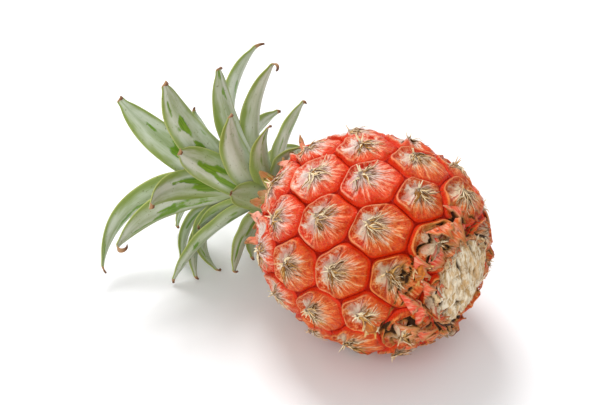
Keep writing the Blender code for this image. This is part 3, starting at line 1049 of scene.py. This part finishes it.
def rind_finish():
    """Waxy red-orange skin: narrow deep grooves, bloomed caps with painted rim highlights, pale streaked
    fans, painted shade.
    """
    rind = Finish("waxy_rind", Specular_IOR_Level=0.25)
    share = rind.layer("share")[0]
    height = rind.layer("height")[0]
    _, crownward, sideways, mood = rind.layer("around")
    spot = rind.place()
    blotch = rind.noise(spot, 0.13, 3.0, 0.6)
    patch = rind.noise(spot, 0.35, 3.0, 0.6)
    fine = rind.noise(spot, 1.0, 4.0, 0.65)
    spokes = rind.join(
        rind.times(crownward, 9.0),
        rind.times(sideways, 9.0),
        rind.times(mood, 50.0, rind.times(share, 2.0)),
    )
    streak = rind.noise(spokes, 1.1, 4.0, 0.75)
    thread = rind.noise(spokes, 3.0, 2.0)
    on_cap = rind.between(crownward, FAN_FROM - 0.08, FAN_FROM + 0.05)
    on_fan = rind.math("SUBTRACT", 1.0, on_cap)
    # Redder by the crown and above, more orange towards the stalk, low down and from eye to eye.
    along, _, above = rind.parts(spot)
    warm = rind.times(along, 0.011, rind.times(mood, 0.5, blotch))
    warm = rind.between(rind.times(above, -0.006, warm), -0.1, 0.75)
    deep = rind.mix(warm, rgb(0.85, 0.11, 0.01), rgb(0.76, 0.20, 0.0))
    bright = rind.mix(warm, rgb(0.91, 0.27, 0.13), rgb(0.85, 0.31, 0.02))
    pink = rind.mix(warm, rgb(0.96, 0.60, 0.47), rgb(0.93, 0.56, 0.28))
    pale = rind.mix(warm, rgb(0.98, 0.90, 0.86), rgb(0.94, 0.84, 0.70))
    body = rind.lay(deep, bright, patch, 0.35, 0.62)
    body = rind.lay(body, rgb(0.88, 0.40, 0.10), fine, 0.5, 0.62, 0.6)
    # The cap: a pale bloom in its hollow, a saturated ring round that, and a thin pink painted highlight
    # along its rim.
    crownwards = rind.between(along, 0.0, -45.0, 0.0, 0.14)
    inwards = rind.math("SUBTRACT", crownwards, share)
    hollow = rind.times(fine, 0.6, inwards)
    hollow = rind.times(patch, 0.9, hollow)
    cap = rind.lay(body, pink, hollow, -0.06, 0.12, 0.9)
    cap = rind.lay(cap, pale, hollow, 0.06, 0.28, 0.95)
    # Painted highlight: a thin pink line round the cap near its rim.
    rim = rind.between(rind.off(share, 0.86), 0.055, 0.015)
    cap = rind.mix(rind.times(rim, rind.between(patch, 0.3, 0.5, 0.5, 0.95)), cap, pink)
    # The fan: pale near the apex, finely streaked, and saturated towards its edge.
    uneven = rind.times(streak, 1.7, inwards)
    fan = rind.lay(body, pink, uneven, 0.08, 0.28)
    fan = rind.lay(fan, pale, uneven, 0.24, 0.52, 0.9)
    bright_streak = rind.times(rind.between(thread, 0.45, 0.6), rind.between(share, 0.95, 0.5, 0.1, 0.6))
    fan = rind.mix(bright_streak, fan, bright)
    dark_streak = rind.times(rind.between(thread, 0.55, 0.62), rind.between(share, 0.85, 0.2, 0.0, 0.85))
    fan = rind.mix(dark_streak, fan, rgb(0.56, 0.30, 0.12))
    body = rind.mix(on_fan, cap, fan)
    # Painted shade: deeper colour in low places, in the crease under the fan's raised edge and under the apex
    # fibres.
    body = rind.lay(body, deep, height, 0.1, -0.9, 0.5)
    # Painted shadow: a dark red line in the crease under the fan's raised edge.
    fan_edge_shadow = rind.between(rind.off(crownward, FAN_FROM + 0.08), 0.09, 0.02)
    fan_edge_shadow = rind.times(fan_edge_shadow, rind.between(share, 0.95, 0.75, 0.0, 0.8))
    body = rind.mix(fan_edge_shadow, body, rgb(0.70, 0.17, 0.03))
    # Painted shade: dark olive-brown streaks under the fibres that lie from the apex over the fan.
    shade_under_fibres = rind.times(rind.between(share, 0.6, 0.2), rind.between(thread, 0.40, 0.55, 0.0, 0.9))
    body = rind.mix(rind.times(shade_under_fibres, on_fan), body, rgb(0.45, 0.31, 0.12))
    body = rind.lay(body, rgb(0.48, 0.22, 0.08), rind.noise(spot, 1.6, 0.0), 0.70, 0.76, 0.5)
    body = rind.lay(body, rgb(0.89, 0.20, 0.0), share, 0.895, 0.94)
    body = rind.lay(body, rgb(0.80, 0.11, 0.0), share, 0.965, 0.995)
    # Torn skin round the stalk: ochre edges, and dark brown painted shade in the cracks.
    torn = rind.layer("torn")[0]
    body = rind.lay(body, rgb(0.74, 0.52, 0.24), torn, 0.05, 0.3, 0.75)
    body = rind.lay(body, rgb(0.22, 0.11, 0.03), torn, 0.3, 0.6, 0.95)
    # Painted shade: dark brown in the hollows where the crown's stem and the stalk sit.
    body = rind.lay(body, rgb(0.22, 0.11, 0.04), rind.layer("pressed")[0], 0.5, 2.0)
    rind.roughness(rind.between(fine, 0.2, 0.8, 0.22, 0.42))
    return rind.done(body, rind.times(thread, 1.0, rind.math("ADD", fine, patch)), 0.8 * MM, 1.0)


def tuft_finish():
    """Dry papery fibres, cream and straw to brown and olive from one to the next."""
    paper = Finish("dry_paper", Roughness=0.8, Specular_IOR_Level=0.2)
    tone = paper.layer("tone")[0]
    spot = paper.place()
    body = paper.lay(rgb(0.96, 0.89, 0.74), rgb(0.84, 0.64, 0.36), tone, 0.25, 0.55)
    body = paper.lay(body, rgb(0.60, 0.39, 0.15), tone, 0.6, 0.75)
    body = paper.lay(body, rgb(0.36, 0.22, 0.06), tone, 0.85, 0.95)
    body = paper.lay(body, rgb(0.50, 0.33, 0.15), paper.noise(spot, 1.2, 2.0), 0.55, 0.7, 0.6)
    return paper.done(body, paper.noise(spot, 2.0), 0.2 * MM, 0.5)


def flower_finish():
    """Dried flower: orange-brown, wrinkled and slightly waxy."""
    flower = Finish("dried_flower", Roughness=0.45, Specular_IOR_Level=0.3)
    spot = flower.place()
    blotch = flower.noise(spot, 0.4, 3.0, 0.6)
    body = flower.lay(rgb(0.62, 0.30, 0.06), rgb(0.88, 0.52, 0.14), blotch, 0.35, 0.65)
    return flower.done(body, flower.noise(spot, 1.2, 3.0), 0.6 * MM, 0.8)


def leaf_finish():
    """Grey-green leaf: silvery bloom, rubbed bright green along the middle, yellow-green margins."""
    leaf = Finish("bloomed_leaf", Specular_IOR_Level=0.3)
    _, across, along, dry = leaf.layer("blade")
    tone = leaf.layer("tone")[0]
    spot = leaf.place()
    lines = leaf.join(leaf.times(across, 11.0), leaf.times(along, 5.0), leaf.times(tone, 60.0))
    fine = leaf.noise(lines, 1.6, 3.0)
    wide = leaf.join(leaf.times(across, 1.3), leaf.times(along, 3.6), leaf.times(tone, 90.0))
    cloud = leaf.noise(wide, 0.7, 3.0, 0.6)
    off_middle = leaf.off(across)
    rubbed = leaf.times(leaf.noise(spot, 0.3, 2.0), 0.10, leaf.noise(wide, 1.0, 1.0))
    rubbed = leaf.times(fine, 0.10, rubbed)
    rubbed = leaf.times(leaf.between(rubbed, 0.69, 0.735), leaf.between(off_middle, 0.6, 0.4))
    silver = leaf.lay(rgb(0.62, 0.68, 0.50), rgb(0.77, 0.80, 0.72), cloud, 0.35, 0.62)
    body = leaf.lay(silver, rgb(0.83, 0.86, 0.81), fine, 0.3, 0.7, 0.3)
    green = leaf.times(leaf.math("SUBTRACT", cloud, 0.5), -0.8, off_middle)
    body = leaf.lay(body, rgb(0.47, 0.55, 0.12), green, 0.4, 0.85, 0.85)
    # Painted shade: darker green-grey along the middle, where the leaf folds into its channel.
    body = leaf.lay(body, rgb(0.50, 0.58, 0.36), off_middle, 0.25, 0.0, 0.4)
    bare = leaf.lay(rgb(0.33, 0.50, 0.04), rgb(0.44, 0.60, 0.09), fine, 0.35, 0.65)
    body = leaf.mix(leaf.times(rubbed, 0.95), body, bare)
    body = leaf.lay(body, rgb(0.68, 0.70, 0.40), off_middle, 0.93, 0.99, 0.8)
    body = leaf.lay(body, rgb(0.52, 0.57, 0.30), along, 0.35, 0.05, 0.5)
    body = leaf.lay(body, rgb(0.40, 0.40, 0.22), leaf.noise(spot, 0.9, 1.0), 0.68, 0.74, 0.6)
    body = leaf.lay(body, rgb(0.66, 0.50, 0.34), dry, 0.0, 0.3)
    body = leaf.lay(body, rgb(0.42, 0.27, 0.17), dry, 0.4, 0.8)
    leaf.roughness(leaf.between(rubbed, 0.0, 1.0, 0.5, 0.3))
    return leaf.done(body, fine, 0.2 * MM, 0.4)


NECK_SHADES = (
    rgb(0.95, 0.66, 0.58),
    rgb(0.93, 0.54, 0.38),
    rgb(0.82, 0.68, 0.48),
    rgb(0.56, 0.61, 0.18),
)
BASE_SHADES = (
    rgb(0.86, 0.22, 0.07),
    rgb(0.90, 0.38, 0.24),
    rgb(0.84, 0.38, 0.05),
    rgb(0.76, 0.56, 0.30),
)


def bract_finish(name, shades, dryness):
    """Soft bracts whose colour runs through shades from one bract to the next, browner with dryness."""
    skin = Finish(name, Roughness=0.6, Subsurface_Weight=0.08, Subsurface_Scale=1.5 * MM)
    _, shade, along, across = skin.layer("tone")
    spot = skin.place()
    body = shades[0]
    for step, colour in enumerate(shades[1:]):
        start = step / (len(shades) - 1)
        body = skin.mix(skin.between(shade, start, start + 0.9 / (len(shades) - 1)), body, colour)
    veins = skin.noise(skin.join(skin.times(across, 6.0), along, shade), 1.5, 2.0)
    blotch = skin.noise(spot, 0.25, 3.0, 0.6)
    body = skin.lay(body, rgb(0.86, 0.22, 0.08), blotch, 0.45, 0.62, 0.55)
    body = skin.lay(body, rgb(0.93, 0.76, 0.62), veins, 0.42, 0.65, 0.5)
    body = skin.lay(body, rgb(0.66, 0.47, 0.24), along, 0.55, 1.0, dryness)
    body = skin.lay(body, rgb(0.38, 0.19, 0.07), skin.noise(spot, 0.35, 3.0, 0.6), 0.56, 0.7, dryness)
    return skin.done(body, veins, 0.3 * MM, 0.6)


def wood_finish():
    """Torn woody fibre: pale cream and grey-tan, with dark brown painted shade in the pits."""
    wood = Finish("torn_wood", Roughness=0.85, Specular_IOR_Level=0.2)
    grain = wood.noise(wood.place((0.5, 1, 0.2)), 0.9, 4.0, 0.65)
    broad = wood.noise(wood.place((1, 1, 0.5)), 0.2, 3.0)
    height = wood.layer("height")[0]
    body = wood.lay(rgb(0.72, 0.58, 0.38), rgb(0.95, 0.90, 0.80), grain, 0.35, 0.6)
    body = wood.lay(body, rgb(0.84, 0.68, 0.46), broad, 0.48, 0.62, 0.6)
    # Painted shade: dark brown where the wood lies low, in the pits.
    body = wood.lay(body, rgb(0.30, 0.18, 0.06), height, -0.8, -2.6, 0.95)
    return wood.done(body, grain, 0.8 * MM, 0.9)


def torn_finish():
    """Torn dry tissue: ochre and brown shreds with orange and straw among them, and painted shade in the
    crevice.
    """
    torn = Finish("torn_tissue", Roughness=0.8, Specular_IOR_Level=0.2)
    spot = torn.place()
    shreds = torn.noise(spot, 0.7, 4.0, 0.65)
    broad = torn.noise(spot, 0.22, 3.0)
    body = torn.lay(rgb(0.52, 0.33, 0.12), rgb(0.90, 0.78, 0.60), shreds, 0.3, 0.6)
    body = torn.lay(body, rgb(0.84, 0.42, 0.18), broad, 0.45, 0.6, 0.6)
    # Painted shade: dark brown where the tissue lies low, in the crevice.
    body = torn.lay(body, rgb(0.24, 0.13, 0.04), torn.layer("height")[0], 0.3, -1.2, 0.95)
    return torn.done(body, shreds, 0.8 * MM, 0.9)


# The studio.


def make_floor():
    bm = bmesh.new()
    bmesh.ops.create_grid(bm, x_segments=1, y_segments=1, size=FLOOR_HALF)
    pale = Finish("pale_floor", Base_Color=rgb(0.95, 0.95, 0.955), Roughness=0.6)
    linked("floor", mesh_of(bm, "floor", pale.material))


def soft_light(name, place, size, power):
    """A square soft light that faces the fruit."""
    light = bpy.data.lights.new(name, "AREA")
    light.size = size
    light.energy = power
    lamp = linked(name, light)
    lamp.location = place
    lamp.rotation_euler = (FRUIT_MIDDLE - Vector(place)).to_track_quat("-Z", "Y").to_euler()


def make_studio():
    world = bpy.data.worlds.new("studio")
    world.use_nodes = True
    sky = world.node_tree.nodes["Background"].inputs
    sky["Color"].default_value = (1, 1, 1, 1)
    sky["Strength"].default_value = SKY_STRENGTH
    bpy.context.scene.world = world
    for light in LIGHTS:
        soft_light(*light)
    bpy.context.scene.view_settings.view_transform = "Standard"


def make_camera():
    azimuth, elevation = math.radians(AZIMUTH), math.radians(ELEVATION)
    right = Vector((math.cos(azimuth), math.sin(azimuth), 0))
    near = Vector((math.sin(azimuth), -math.cos(azimuth), 0))
    back = near * math.cos(elevation) + Vector((0, 0, math.sin(elevation)))
    up = back.cross(right)
    lens = bpy.data.cameras.new("camera")
    lens.sensor_width = 36
    lens.lens = LENS
    camera = linked("camera", lens)
    camera.rotation_euler = Matrix((right, up, back)).transposed().to_euler()
    camera.location = FRUIT_MIDDLE + Matrix((back, right, up)).transposed() @ Vector(CAMERA_OFFSET)
    bpy.context.scene.camera = camera


def make_pineapple():
    leaf = leaf_finish()
    wood = wood_finish()
    make_skin(rind_finish())
    make_tufts(tuft_finish())
    make_dried_flowers(flower_finish())
    for number, row in enumerate(LEAVES):
        make_leaf(number, row, leaf)
    make_stem(leaf)
    make_neck_bracts(bract_finish("neck_bract_skin", NECK_SHADES, 0.9))
    make_base_flaps(bract_finish("base_bract_skin", BASE_SHADES, 0.75))
    make_torn_collar(torn_finish())
    make_stalk(wood)
    make_fibres(wood)


make_pineapple()
make_floor()
make_studio()
make_camera()

bpy.context.view_layer.update()
